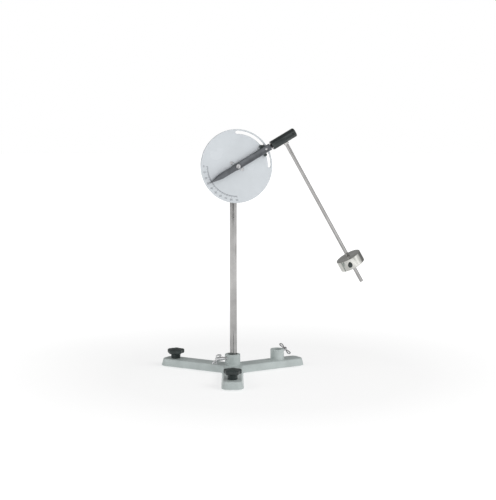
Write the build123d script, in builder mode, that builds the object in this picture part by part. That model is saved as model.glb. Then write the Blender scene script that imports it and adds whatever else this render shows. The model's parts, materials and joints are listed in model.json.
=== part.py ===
"""Variable-g pendulum on a tripod stand: a dial on a stand rod, a pointer arm that tilts from 0 to 90 degrees
over it, and a pendulum that swings on ball bearings about the arm's own long axis. Millimetres, +Z up."""

import os
from math import cos, radians, sin

from build123d import *

# ---- where things stand -------------------------------------------------------------------------
# The origin is the bottom centre of the whole apparatus; the stand rod's axis is off to one side of it.
STAND_X, STAND_Y = -66.6, 19.5
PIVOT_HEIGHT = 416.0  # the dial's centre above the bench
TILT = 30.0  # the arm above the horizontal, degrees
RUN = 0.05  # radial running clearance of a shaft in its bore
GAP = 0.2  # end clearance between pieces that turn on one another

# ---- stand base ---------------------------------------------------------------------------------
LEG_HEADING = 16.0  # direction of the right leg; the others stand 120 degrees away
LEG_REACH = 164.0  # hub centre to leg end
LEG_OVERLAP = 10.0  # how far each leg's outline runs past the hub centre, inside the other two
LEG_BOTTOM, LEG_TOP = 2.5, 17.0
LEG_HALF_WIDTH = 21.5  # at the bottom edge
LEG_DRAFT = 15.0  # slope of the cast sides, degrees
LEG_CORNER = 15.0
CROTCH_RADIUS = 12.0
CAVITY_HALF_WIDTH, CAVITY_TOP = 14.5, 12.0
RIB = 4.0
HUB_RADIUS, HUB_BORE = 15.5, 9.0
SOCKET_RADIUS, SOCKET_BORE = 14.0, 8.0
SOCKET_REACH = 106.0
BOSS_TOP, BOSS_FLOOR = 39.0, 6.0
LEG_TOP_EDGE, BOSS_EDGE = 2.0, 0.8  # rounding of the legs' top edge, chamfer of the bosses' rims
HUB_CUT, SOCKET_CUT = 30.0, 17.0  # half lengths of the casting's hub block and socket block

# ---- levelling screws and feet ------------------------------------------------------------------
LEVEL_REACH = 136.0
LEVEL_BORE = 4.0  # M8 thread, taken as a plain bore
LEVEL_BOSS_BOTTOM = 8.5
FOOT_BOSS, FOOT_POCKET, PAD_RADIUS = 10.0, 8.0, 7.2
PAD_HEIGHT, PAD_SEAT = 4.0, 1.5
FIXED_FOOT_REACH, FIXED_FOOT_TOP = 144.0, 6.5
LEVEL_STUD_TOP = 33.0
FOOT_EDGE, LEVEL_STUD_EDGE = 0.8, 0.6
KNOB_GAP = 0.3
STAR_RADIUS, STAR_HEIGHT, STAR_LOBES = 18.0, 10.5, 5
LOBE_SHARE, CORE_SHARE = 0.32, 0.8  # radii of a star grip's lobes and of its core, of its own radius
TOP_ROUND, UNDER_ROUND = 0.25, 0.2  # rounding of a star grip's rims, of its height
NECK_RADIUS, NECK_HEIGHT = 9.7, 10.0

# ---- clamp screws of the base: M6 shank and a bow-tie handle of bent wire -----------------------
CLAMP_BORE, CLAMP_EDGE = 3.0, 0.5
HUB_SCREW_Z, HUB_SCREW_HEADING = 31.5, 180.0  # headings are measured from the right leg
SOCKET_SCREW_Z, SOCKET_SCREW_HEADING = 33.0, 30.0
WIRE = 1.3
BOW_INNER, BOW_OUTER, BOW_REACH = 7.0, 21.0, 14.2  # from the barrel's inner end, and to each side
BOW_CORNER = 3.2
BARREL_RADIUS, BARREL_LENGTH = 3.8, 16.0
HUB_BARREL, SOCKET_BARREL = 22.5, 21.0  # boss axis to the barrel's inner end
HUB_BOW_TURN, SOCKET_BOW_TURN = 47.0, 40.0  # how far each bow-tie is turned from level at rest

# ---- stand rod ----------------------------------------------------------------------------------
ROD_RADIUS = 7.0
ROD_BOTTOM, ROD_TOP, ROD_EDGE = 6.3, 462.0, 1.0

# ---- dial head: distances in front of the stand rod's axis --------------------------------------
DISC_RADIUS, DISC_BACK, DISC_FRONT = 72.0, 25.5, 30.5
DISC_EDGE = 0.7
SLOT_RADIUS, SLOT_WIDTH = 66.0, 6.0
FLANGE_RADIUS, FLANGE_BACK = 21.0, 19.5
BLOCK_WIDTH, BLOCK_HEIGHT, BLOCK_REAR = 30.0, 38.0, 15.0
BLOCK_CORNER, BLOCK_EDGE = 4.0, 1.2
DIAL_SCREW_CIRCLE, DIAL_SCREW_RADIUS, DIAL_SCREW_HEAD = 12.5, 1.5, 2.9
DIAL_SCREW_DEPTH, DIAL_HEX, DIAL_HEX_DEPTH = 12.0, 1.0, 1.2
PIVOT_SCREW_RADIUS, PIVOT_HEAD_RADIUS, PIVOT_HEAD_HEIGHT = 2.5, 4.4, 2.2
PIVOT_DEPTH, PIVOT_HEAD_ROUND = 13.0, 0.6
DRIVER_SLOT, DRIVER_SLOT_DEPTH, DRIVER_SLOT_TURN = 1.1, 0.9, 70.0
HEAD_STUD_END, HEAD_KNOB_START = 30.0, 17.5
HEAD_STAR_RADIUS, HEAD_STAR_HEIGHT, HEAD_NECK_RADIUS, HEAD_NECK_HEIGHT = 13.0, 8.0, 6.5, 6.0

# ---- pointer arm: distances along it from the pivot ---------------------------------------------
ARM_BACK, ARM_FRONT = 34.0, 40.0
ARM_END, POINTER_TIP, TAPER_START, STEP = 76.0, -64.0, -38.0, -6.0
POINTER_HALF, ARM_HALF, TIP_HALF = 5.5, 6.3, 0.35
ARM_EDGE, BUSH_RADIUS, BAR_CORNER = 0.3, 4.0, 1.5
BAR_AT, BAR_WIDTH, BAR_LENGTH, BAR_SEAT = 60.2, 6.0, 24.0, 1.0
LOCK_STUD_RADIUS, LOCK_STUD_END, LOCK_STUD_EDGE = 2.4, 10.8, 0.4
LOCK_WASHER_RADIUS, LOCK_WASHER = 8.0, 1.5
LOCK_INSERT_RADIUS, LOCK_KNOB_RADIUS, LOCK_KNOB_LENGTH, LOCK_FLUTES = 4.0, 8.5, 10.5, 16

# ---- bearing block and pendulum -----------------------------------------------------------------
AXLE_RADIUS, AXLE_THREAD, AXLE_THREAD_START, SHOULDER = 2.5, 2.0, 69.5, 3.5
HOUSING_START, HOUSING_END, HOUSING_HALF, HOUSING_CHAMFER = 79.3, 133.0, 8.5, 4.2
HOUSING_EDGE = 0.7
BEARING_STARTS, BEARING_WIDTH = (79.8, 124.0), 4.0
RACE_OUTER, INNER_RING, OUTER_RING, BALL_CIRCLE, BALL = 6.5, 3.9, 5.1, 4.5, 1.0
BALLS = 8
CAGE_INNER, CAGE_OUTER, CAGE_WIDTH = 4.15, 4.85, 2.6
HOUSING_BORE = 4.0
AXLE_END, RETAINER_RADIUS, RETAINER_WASHER = 128.0, 3.8, 1.0
RETAINER_SCREW, RETAINER_HEAD, RETAINER_HEAD_HEIGHT = 1.5, 2.8, 1.8
RETAINER_LENGTH, RETAINER_HOLE = 9.0, 10.0
CAP_START, CAP_EDGE = 131.3, 0.3
GRUB_AT, GRUB_RADIUS, GRUB_LENGTH, GRUB_HEX, GRUB_HEX_DEPTH = 126.0, 1.5, 1.6, 0.8, 1.0
HANG_AT = 107.0  # pendulum rod's place along the arm
PENDULUM_RADIUS, PENDULUM_END, PENDULUM_EDGE = 3.5, 332.0, 0.5
SPIGOT_RADIUS, SPIGOT_TOP = 2.5, 4.6
NUT_RADIUS, NUT_HEIGHT = 5.2, 3.5
BOB_RADIUS, BOB_HEIGHT, BOB_AT, BOB_EDGE = 26.0, 22.0, 283.0, 0.8
BOB_SCREW_BORE, BOB_SCREW_TURN, BOB_STUD_END = 2.0, 23.0, 31.0
BOB_STUD_EDGE = 0.3
BOB_KNOB_RADIUS, BOB_KNOB_START, BOB_KNOB_LENGTH, BOB_FLUTES = 4.6, 26.5, 6.0, 14
FLUTE_CENTRE = 1.04  # circle of a fluted knob's cutters, of its own radius

os.makedirs("parts", exist_ok=True)

# ---- reference planes ---------------------------------------------------------------------------
STAND = Plane((STAND_X, STAND_Y, 0))
LEG_AXIS = Vector(cos(radians(LEG_HEADING)), sin(radians(LEG_HEADING)), 0)
# the rod is pushed against the far side of the wider hub bore, so the hub's centre lies behind it
HUB_SHIFT = HUB_BORE - ROD_RADIUS - RUN
BASE = Plane(origin=STAND.origin - LEG_AXIS * HUB_SHIFT, x_dir=LEG_AXIS, z_dir=(0, 0, 1))
PIVOT = Vector(STAND_X, STAND_Y, PIVOT_HEIGHT)
TOWARDS_VIEWER = Vector(0, -1, 0)
ALONG = Vector(cos(radians(TILT)), 0, sin(radians(TILT)))
DOWN = Vector(sin(radians(TILT)), 0, -cos(radians(TILT)))  # the hanging pendulum, square to the arm
DIAL = Plane(origin=PIVOT, x_dir=(1, 0, 0), z_dir=TOWARDS_VIEWER)
ARM = Plane(origin=PIVOT, x_dir=ALONG, z_dir=TOWARDS_VIEWER)
ARM_MIDDLE = (ARM_BACK + ARM_FRONT) / 2
AXLE = Plane(origin=PIVOT + TOWARDS_VIEWER * ARM_MIDDLE, x_dir=TOWARDS_VIEWER, z_dir=ALONG)
AXLE_LINE = Axis(AXLE.origin, AXLE.z_dir)
AXLE_SECTION = Plane(origin=AXLE.origin, x_dir=AXLE.x_dir, z_dir=AXLE.x_dir.cross(AXLE.z_dir))
HANG = Plane(origin=AXLE.origin + ALONG * HANG_AT, x_dir=TOWARDS_VIEWER, z_dir=DOWN)


def save(piece, name):
    """Label a finished piece and write its STEP file."""
    piece.part.label = name
    export_step(piece.part, f"parts/{name}.step")


def rims(piece, radius):
    """The circular edges of one radius."""
    circles = piece.edges().filter_by(GeomType.CIRCLE)
    return circles.filter_by(lambda edge: abs(edge.radius - radius) < 1e-4)


def cylinder(name, plane, radius, start, end, bore=0.0, edge=0.0):
    """A plain turned piece from start to end along the plane's normal, with an optional bore through it."""
    with BuildPart() as piece:
        with BuildSketch(plane.offset(start)):
            Circle(radius)
            if bore:
                Circle(bore, mode=Mode.SUBTRACT)
        extrude(amount=end - start)
        if edge:
            chamfer(rims(piece, radius), edge)
    save(piece, name)


def screw_plane(centre_plane, reach, height, heading):
    """A plane square to a sideways screw of a boss: its normal points out of the boss, at a heading."""
    centre = centre_plane.from_local_coords(Vector(reach, 0, height))
    out = centre_plane.x_dir.rotate(Axis.Z, heading)
    return Plane(origin=centre, x_dir=out.rotate(Axis.Z, 90), z_dir=out)


HUB_SCREW = screw_plane(BASE, 0, HUB_SCREW_Z, HUB_SCREW_HEADING)
SOCKET_SCREW = screw_plane(BASE, SOCKET_REACH, SOCKET_SCREW_Z, SOCKET_SCREW_HEADING)
HEAD_SCREW = Plane(origin=PIVOT, x_dir=(-1, 0, 0), z_dir=(0, 1, 0))
LEVELS = {
    side: Plane(origin=BASE.from_local_coords(Vector(LEVEL_REACH, 0, 0).rotate(Axis.Z, turn)))
    for side, turn in (("left", 120), ("front", 240))
}


# ---- the base casting ---------------------------------------------------------------------------
with BuildPart() as tripod_base:
    with BuildSketch(BASE.offset(LEG_BOTTOM)) as legs:
        with PolarLocations((LEG_REACH - LEG_OVERLAP) / 2, 3):
            RectangleRounded(LEG_REACH + LEG_OVERLAP, 2 * LEG_HALF_WIDTH, LEG_CORNER)
        near_hub = legs.vertices().filter_by(lambda v: v.distance_to(Vector(0, 0, 0)) < LEG_REACH / 5)
        fillet(near_hub, CROTCH_RADIUS)
    extrude(amount=LEG_TOP - LEG_BOTTOM, taper=LEG_DRAFT)
    fillet(tripod_base.faces().sort_by(Axis.Z)[-1].edges(), LEG_TOP_EDGE)
    with BuildSketch(BASE.offset(LEG_BOTTOM)):
        with PolarLocations(LEG_REACH / 2, 3):
            RectangleRounded(LEG_REACH - LEG_CORNER, 2 * CAVITY_HALF_WIDTH, CAVITY_HALF_WIDTH / 2)
            Rectangle(LEG_REACH, RIB, mode=Mode.SUBTRACT)
        Circle(HUB_RADIUS, mode=Mode.SUBTRACT)
        with Locations((SOCKET_REACH, 0)):
            Circle(SOCKET_RADIUS, mode=Mode.SUBTRACT)
        with Locations((FIXED_FOOT_REACH, 0)):
            Circle(FOOT_BOSS, mode=Mode.SUBTRACT)
        with PolarLocations(LEVEL_REACH, 2, start_angle=120, angular_range=240):
            Circle(FOOT_BOSS, mode=Mode.SUBTRACT)
    extrude(amount=CAVITY_TOP - LEG_BOTTOM, mode=Mode.SUBTRACT)
    with BuildSketch(BASE.offset(CAVITY_TOP)):
        Circle(HUB_RADIUS)
        with Locations((SOCKET_REACH, 0)):
            Circle(SOCKET_RADIUS)
    extrude(amount=BOSS_TOP - CAVITY_TOP)
    with BuildSketch(BASE.offset(BOSS_FLOOR)):
        Circle(HUB_BORE)
        with Locations((SOCKET_REACH, 0)):
            Circle(SOCKET_BORE)
    extrude(amount=BOSS_TOP - BOSS_FLOOR, mode=Mode.SUBTRACT)
    chamfer(tripod_base.edges().group_by(Axis.Z)[-1], BOSS_EDGE)
    with BuildSketch(BASE.offset(LEG_BOTTOM)):
        with PolarLocations(LEVEL_REACH, 2, start_angle=120, angular_range=240):
            Circle(FOOT_POCKET)
    extrude(amount=LEVEL_BOSS_BOTTOM - LEG_BOTTOM, mode=Mode.SUBTRACT)
    with BuildSketch(BASE.offset(LEG_BOTTOM)):
        with Locations((FIXED_FOOT_REACH, 0)):
            Circle(FOOT_POCKET)
    extrude(amount=FIXED_FOOT_TOP - LEG_BOTTOM, mode=Mode.SUBTRACT)
    with BuildSketch(BASE.offset(LEG_BOTTOM)):
        with PolarLocations(LEVEL_REACH, 2, start_angle=120, angular_range=240):
            Circle(LEVEL_BORE)
    extrude(amount=LEG_TOP - LEG_BOTTOM, mode=Mode.SUBTRACT)
    for screw, outer in ((HUB_SCREW, HUB_RADIUS), (SOCKET_SCREW, SOCKET_RADIUS)):
        with BuildSketch(screw):
            Circle(CLAMP_BORE)
        extrude(amount=outer + BOSS_EDGE, mode=Mode.SUBTRACT)


def casting_block(name, turn, start, end):
    """The stretch of the casting between two distances out along one leg, as a block of its own."""
    leg = Plane(origin=BASE.origin, x_dir=BASE.x_dir.rotate(Axis.Z, turn), z_dir=(0, 0, 1))
    with BuildPart() as block:
        add(tripod_base.part)
        with BuildSketch(leg):
            with Locations(((start + end) / 2, 0)):
                Rectangle(end - start, LEG_HALF_WIDTH * 2 + RIB)
        extrude(amount=BOSS_TOP, mode=Mode.INTERSECT)
    save(block, name)


# The casting is written as blocks that meet face to face: the hub, the legs and the second rod's socket.
with BuildPart() as base_hub:
    add(tripod_base.part)
    with BuildSketch(BASE):
        RegularPolygon(HUB_CUT * 2, 3, rotation=60)
    extrude(amount=BOSS_TOP, mode=Mode.INTERSECT)
save(base_hub, "base_hub")
casting_block("left_leg", 120, HUB_CUT, LEG_REACH)
casting_block("front_leg", 240, HUB_CUT, LEG_REACH)
casting_block("right_leg", 0, HUB_CUT, SOCKET_REACH - SOCKET_CUT)
casting_block("rod_socket", 0, SOCKET_REACH - SOCKET_CUT, SOCKET_REACH + SOCKET_CUT)
casting_block("right_leg_toe", 0, SOCKET_REACH + SOCKET_CUT, LEG_REACH)

FIXED_FOOT = Plane(origin=BASE.from_local_coords(Vector(FIXED_FOOT_REACH, 0, 0)))
cylinder("fixed_foot", FIXED_FOOT, FOOT_POCKET, 0, FIXED_FOOT_TOP, edge=FOOT_EDGE)


# ---- levelling screws ---------------------------------------------------------------------------
def star_knob(name, plane, head_radius, head_height, neck_radius, neck_height, bore, bore_depth):
    """A moulded star grip on a round neck, with a blind bore for its stud. It starts at the plane."""
    lobe = head_radius * LOBE_SHARE
    with BuildPart() as knob:
        with BuildSketch(plane.offset(neck_height)) as star:
            Circle(head_radius * CORE_SHARE)
            with PolarLocations(head_radius - lobe, STAR_LOBES):
                Circle(lobe)
            fillet(star.vertices(), lobe * CORE_SHARE)
        extrude(amount=head_height)
        fillet(knob.faces().sort_by(Axis(plane.origin, plane.z_dir))[-1].edges(), head_height * TOP_ROUND)
        fillet(knob.faces().sort_by(Axis(plane.origin, plane.z_dir))[0].edges(), head_height * UNDER_ROUND)
        with BuildSketch(plane):
            Circle(neck_radius)
        extrude(amount=neck_height)
        with BuildSketch(plane):
            Circle(bore)
        extrude(amount=bore_depth, mode=Mode.SUBTRACT)
    save(knob, name)


for side, level in LEVELS.items():
    knob_bottom = LEG_TOP + KNOB_GAP
    star_knob(f"{side}_levelling_knob", level.offset(knob_bottom), STAR_RADIUS, STAR_HEIGHT, NECK_RADIUS,
              NECK_HEIGHT, LEVEL_BORE, LEVEL_STUD_TOP + KNOB_GAP - knob_bottom)
    cylinder(f"{side}_levelling_stud", level, LEVEL_BORE - RUN, PAD_SEAT, LEVEL_STUD_TOP,
             edge=LEVEL_STUD_EDGE)
    with BuildPart() as foot_pad:
        with BuildSketch(level):
            Circle(PAD_RADIUS)
        extrude(amount=PAD_HEIGHT)
        chamfer(rims(foot_pad, PAD_RADIUS), LEVEL_STUD_EDGE)
        with BuildSketch(level.offset(PAD_SEAT)):
            Circle(LEVEL_BORE - RUN)
        extrude(amount=PAD_HEIGHT - PAD_SEAT, mode=Mode.SUBTRACT)
    save(foot_pad, f"{side}_foot_pad")


# ---- clamp screws of the base -------------------------------------------------------------------
def bow_handle(name, plane, turn):
    """A turned barrel with a closed loop of bent wire to each side. The plane is at its start."""
    span = plane.x_dir.rotate(Axis((0, 0, 0), plane.z_dir), turn)
    blade = Plane(origin=plane.origin, x_dir=span, z_dir=span.cross(plane.z_dir))
    waist = (BOW_INNER + BOW_OUTER) / 2
    with BuildPart() as handle:
        with BuildSketch(plane):
            Circle(BARREL_RADIUS)
        extrude(amount=BARREL_LENGTH)
        chamfer(rims(handle, BARREL_RADIUS), CLAMP_EDGE)
        for side in (1, -1):
            with BuildLine(blade) as loop:
                FilletPolyline((side * WIRE, waist), (side * BOW_REACH, BOW_INNER),
                               (side * BOW_REACH, BOW_OUTER), radius=BOW_CORNER, close=True)
            with BuildSketch(Plane(origin=loop.line @ 0, z_dir=loop.line % 0)):
                Circle(WIRE)
            sweep(path=loop.line)
        with BuildSketch(plane):
            Circle(CLAMP_BORE)
        extrude(amount=BARREL_LENGTH - WIRE * 2, mode=Mode.SUBTRACT)
    save(handle, name)


for name, screw, tip, barrel, turn in (
    ("hub", HUB_SCREW, ROD_RADIUS - HUB_SHIFT + GAP, HUB_BARREL, HUB_BOW_TURN),
    ("socket", SOCKET_SCREW, SOCKET_BORE + GAP, SOCKET_BARREL, SOCKET_BOW_TURN),
):
    shank_end = barrel + BARREL_LENGTH - WIRE * 2 - GAP
    cylinder(f"{name}_screw_shank", screw, CLAMP_BORE - RUN, tip, shank_end, edge=CLAMP_EDGE)
    bow_handle(f"{name}_screw_handle", screw.offset(barrel), turn)

# ---- stand rod ----------------------------------------------------------------------------------
cylinder("stand_rod", STAND, ROD_RADIUS, ROD_BOTTOM, ROD_TOP, edge=ROD_EDGE)

# ---- clamp behind the dial ----------------------------------------------------------------------
with BuildPart() as rod_clamp_block:
    with BuildSketch(DIAL.offset(FLANGE_BACK)):
        Circle(FLANGE_RADIUS)
    extrude(amount=DISC_BACK - FLANGE_BACK)
    with BuildSketch(DIAL.offset(-BLOCK_REAR)):
        RectangleRounded(BLOCK_WIDTH, BLOCK_HEIGHT, BLOCK_CORNER)
    extrude(amount=BLOCK_REAR + FLANGE_BACK)
    chamfer(rod_clamp_block.faces().sort_by(Axis.Y)[-1].edges(), BLOCK_EDGE)
    with BuildSketch(STAND.offset(PIVOT_HEIGHT - BLOCK_HEIGHT)):
        Circle(ROD_RADIUS + RUN)
    extrude(amount=BLOCK_HEIGHT * 2, mode=Mode.SUBTRACT)
    with BuildSketch(HEAD_SCREW):
        Circle(CLAMP_BORE)
    extrude(amount=BLOCK_REAR, mode=Mode.SUBTRACT)
    with BuildSketch(DIAL.offset(DISC_BACK - PIVOT_DEPTH)):
        Circle(PIVOT_SCREW_RADIUS)
    extrude(amount=PIVOT_DEPTH, mode=Mode.SUBTRACT)
    with BuildSketch(DIAL.offset(DISC_BACK - DIAL_SCREW_DEPTH)):
        with PolarLocations(DIAL_SCREW_CIRCLE, 2, start_angle=-TILT):
            Circle(DIAL_SCREW_RADIUS)
    extrude(amount=DIAL_SCREW_DEPTH, mode=Mode.SUBTRACT)
save(rod_clamp_block, "rod_clamp_block")

cylinder("head_clamp_stud", HEAD_SCREW, CLAMP_BORE - RUN, ROD_RADIUS + GAP, HEAD_STUD_END,
         edge=CLAMP_EDGE)
star_knob("head_clamp_knob", HEAD_SCREW.offset(HEAD_KNOB_START), HEAD_STAR_RADIUS, HEAD_STAR_HEIGHT,
          HEAD_NECK_RADIUS, HEAD_NECK_HEIGHT, CLAMP_BORE, HEAD_STUD_END + GAP - HEAD_KNOB_START)

# ---- dial ---------------------------------------------------------------------------------------
with BuildPart() as scale_disc:
    with BuildSketch(DIAL.offset(DISC_BACK)):
        Circle(DISC_RADIUS)
        with BuildLine() as slot:
            CenterArc((0, 0), SLOT_RADIUS, 0, 90)
        SlotArc(slot.wire(), SLOT_WIDTH, mode=Mode.SUBTRACT)
        Circle(PIVOT_SCREW_RADIUS, mode=Mode.SUBTRACT)
        with PolarLocations(DIAL_SCREW_CIRCLE, 2, start_angle=-TILT):
            Circle(DIAL_SCREW_RADIUS, mode=Mode.SUBTRACT)
    extrude(amount=DISC_FRONT - DISC_BACK)
    fillet(rims(scale_disc, DISC_RADIUS), DISC_EDGE)
    sink = DIAL_SCREW_HEAD - DIAL_SCREW_RADIUS
    chamfer(rims(scale_disc, DIAL_SCREW_RADIUS).sort_by(Axis.Y)[:2], sink)
save(scale_disc, "scale_disc")

with BuildPart() as dial_screws:
    with BuildSketch(DIAL.offset(DISC_BACK - DIAL_SCREW_DEPTH)):
        with PolarLocations(DIAL_SCREW_CIRCLE, 2, start_angle=-TILT):
            Circle(DIAL_SCREW_RADIUS)
    extrude(amount=DIAL_SCREW_DEPTH + DISC_FRONT - DISC_BACK - sink)
    with BuildSketch(DIAL.offset(DISC_FRONT - sink)):
        with PolarLocations(DIAL_SCREW_CIRCLE, 2, start_angle=-TILT):
            Circle(DIAL_SCREW_RADIUS)
    extrude(amount=sink, taper=-45)
    with BuildSketch(DIAL.offset(DISC_FRONT)):
        with PolarLocations(DIAL_SCREW_CIRCLE, 2, start_angle=-TILT):
            RegularPolygon(DIAL_HEX, 6)
    extrude(amount=-DIAL_HEX_DEPTH, mode=Mode.SUBTRACT)
save(dial_screws, "dial_screws")

BUSH_FRONT = ARM_FRONT + GAP
with BuildPart() as pivot_screw:
    with BuildSketch(DIAL.offset(DISC_BACK - PIVOT_DEPTH)):
        Circle(PIVOT_SCREW_RADIUS)
    extrude(amount=BUSH_FRONT + GAP - DISC_BACK + PIVOT_DEPTH)
    with BuildSketch(DIAL.offset(BUSH_FRONT + GAP)):
        Circle(PIVOT_HEAD_RADIUS)
    extrude(amount=PIVOT_HEAD_HEIGHT)
    fillet(rims(pivot_screw, PIVOT_HEAD_RADIUS).sort_by(Axis.Y)[0], PIVOT_HEAD_ROUND)
    with BuildSketch(DIAL.offset(BUSH_FRONT + GAP + PIVOT_HEAD_HEIGHT)):
        Rectangle(PIVOT_HEAD_RADIUS * 2, DRIVER_SLOT, rotation=DRIVER_SLOT_TURN)
    extrude(amount=-DRIVER_SLOT_DEPTH, mode=Mode.SUBTRACT)
save(pivot_screw, "pivot_screw")

# ---- pointer arm --------------------------------------------------------------------------------
with BuildPart() as pointer_arm:
    with BuildSketch(ARM.offset(ARM_BACK)):
        with BuildLine():
            Polyline(
                (POINTER_TIP, TIP_HALF), (TAPER_START, POINTER_HALF), (STEP, POINTER_HALF), (STEP, ARM_HALF),
                (ARM_END, ARM_HALF), (ARM_END, -ARM_HALF), (STEP, -ARM_HALF), (STEP, -POINTER_HALF),
                (TAPER_START, -POINTER_HALF), (POINTER_TIP, -TIP_HALF), close=True,
            )
        make_face()
    extrude(amount=ARM_FRONT - ARM_BACK)
    chamfer(pointer_arm.faces().sort_by(Axis.Y)[0].edges(), ARM_EDGE)
    with BuildSketch(ARM.offset(ARM_BACK)):
        with Locations((BAR_AT, 0)):
            Rectangle(BAR_WIDTH + RUN * 2, ARM_HALF * 2)
    extrude(amount=BAR_SEAT, mode=Mode.SUBTRACT)
    with BuildSketch(ARM.offset(ARM_BACK)):
        Circle(BUSH_RADIUS)
        with Locations((SLOT_RADIUS, 0)):
            Circle(LOCK_STUD_RADIUS)
    extrude(amount=ARM_FRONT - ARM_BACK, mode=Mode.SUBTRACT)
    with BuildSketch(AXLE.offset(AXLE_THREAD_START)):
        Circle(AXLE_THREAD)
    extrude(amount=ARM_END - AXLE_THREAD_START, mode=Mode.SUBTRACT)
save(pointer_arm, "pointer_arm")

cylinder("pivot_bush", DIAL, BUSH_RADIUS, DISC_FRONT + GAP, BUSH_FRONT, bore=PIVOT_SCREW_RADIUS + RUN)

with BuildPart() as friction_bar:
    with BuildSketch(ARM.offset(DISC_FRONT + GAP)):
        with Locations((BAR_AT, 0)):
            RectangleRounded(BAR_WIDTH, BAR_LENGTH, BAR_CORNER)
    extrude(amount=ARM_BACK + BAR_SEAT - DISC_FRONT - GAP)
save(friction_bar, "friction_bar")

LOCK = Plane(origin=ARM.from_local_coords(Vector(SLOT_RADIUS, 0, 0)), x_dir=ARM.x_dir, z_dir=ARM.z_dir)
cylinder("lock_stud", LOCK, LOCK_STUD_RADIUS, LOCK_STUD_END, ARM_FRONT + GAP, edge=LOCK_STUD_EDGE)
WASHER_BACK = DISC_BACK - GAP - LOCK_WASHER
cylinder("lock_washer", LOCK, LOCK_WASHER_RADIUS, WASHER_BACK, WASHER_BACK + LOCK_WASHER,
         bore=LOCK_STUD_RADIUS)
KNOB_FRONT = WASHER_BACK - KNOB_GAP
KNOB_REAR = KNOB_FRONT - LOCK_KNOB_LENGTH
cylinder("lock_insert", LOCK, LOCK_INSERT_RADIUS, KNOB_REAR, KNOB_FRONT, bore=LOCK_STUD_RADIUS + RUN)


def fluted_knob(name, plane, radius, start, end, bore, flutes, blind=0.0):
    """A round knob with flutes cut along its side, bored for its screw or insert."""
    with BuildPart() as knob:
        with BuildSketch(plane.offset(start)):
            Circle(radius)
            with PolarLocations(radius * FLUTE_CENTRE, flutes):
                Circle(radius * 2 / flutes, mode=Mode.SUBTRACT)
        extrude(amount=end - start)
        with BuildSketch(plane.offset(start)):
            Circle(bore)
        extrude(amount=end - start - blind, mode=Mode.SUBTRACT)
    save(knob, name)


fluted_knob("lock_knob", LOCK, LOCK_KNOB_RADIUS, KNOB_REAR, KNOB_FRONT, LOCK_INSERT_RADIUS + RUN, LOCK_FLUTES)

# ---- axle and ball bearings ---------------------------------------------------------------------
with BuildPart() as bearing_axle:
    with BuildSketch(AXLE.offset(AXLE_THREAD_START)):
        Circle(AXLE_THREAD)
    extrude(amount=ARM_END - AXLE_THREAD_START)
    with BuildSketch(AXLE.offset(ARM_END)):
        Circle(SHOULDER)
    extrude(amount=BEARING_STARTS[0] - ARM_END)
    with BuildSketch(AXLE.offset(BEARING_STARTS[0])):
        Circle(AXLE_RADIUS)
    extrude(amount=AXLE_END - BEARING_STARTS[0])
    with BuildSketch(AXLE.offset(AXLE_END)):
        Circle(RETAINER_SCREW)
    extrude(amount=-RETAINER_HOLE, mode=Mode.SUBTRACT)
save(bearing_axle, "bearing_axle")


def rings(name, inner, outer, groove):
    """One ring for each bearing, grooved for its balls where a groove radius is given."""
    with BuildPart() as pair:
        with BuildSketch(AXLE_SECTION):
            for start in BEARING_STARTS:
                middle = start + BEARING_WIDTH / 2
                with Locations(((inner + outer) / 2, middle)):
                    Rectangle(outer - inner, BEARING_WIDTH)
                with Locations((BALL_CIRCLE, middle)):
                    Circle(groove, mode=Mode.SUBTRACT)
        revolve(axis=AXLE_LINE)
    save(pair, name)


rings("inner_rings", AXLE_RADIUS, INNER_RING, BALL + RUN)
rings("outer_rings", OUTER_RING, RACE_OUTER, BALL + RUN)

MIDDLES = [start + BEARING_WIDTH / 2 for start in BEARING_STARTS]
BALL_PLACES = [
    AXLE.offset(middle).from_local_coords(Vector(BALL_CIRCLE, 0, 0).rotate(Axis.Z, 360 / BALLS * ball))
    for middle in MIDDLES
    for ball in range(BALLS)
]
with BuildPart() as bearing_balls:
    with Locations(*BALL_PLACES):
        Sphere(BALL)
save(bearing_balls, "bearing_balls")

with BuildPart() as ball_cages:
    for middle in MIDDLES:
        with BuildSketch(AXLE.offset(middle - CAGE_WIDTH / 2)):
            Circle(CAGE_OUTER)
            Circle(CAGE_INNER, mode=Mode.SUBTRACT)
        extrude(amount=CAGE_WIDTH)
    with Locations(*BALL_PLACES):
        Sphere(BALL + RUN, mode=Mode.SUBTRACT)
save(ball_cages, "ball_cages")

cylinder("bearing_spacer", AXLE, SHOULDER, BEARING_STARTS[0] + BEARING_WIDTH, BEARING_STARTS[1],
         bore=AXLE_RADIUS)
cylinder("retaining_washer", AXLE, RETAINER_RADIUS, AXLE_END, AXLE_END + RETAINER_WASHER, bore=RETAINER_SCREW)
with BuildPart() as retaining_screw:
    with BuildSketch(AXLE.offset(AXLE_END - RETAINER_LENGTH)):
        Circle(RETAINER_SCREW)
    extrude(amount=RETAINER_LENGTH + RETAINER_WASHER)
    with BuildSketch(AXLE.offset(AXLE_END + RETAINER_WASHER)):
        Circle(RETAINER_HEAD)
    extrude(amount=RETAINER_HEAD_HEIGHT)
save(retaining_screw, "retaining_screw")
cylinder("end_cap", AXLE, RACE_OUTER, CAP_START, HOUSING_END, edge=CAP_EDGE)

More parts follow.
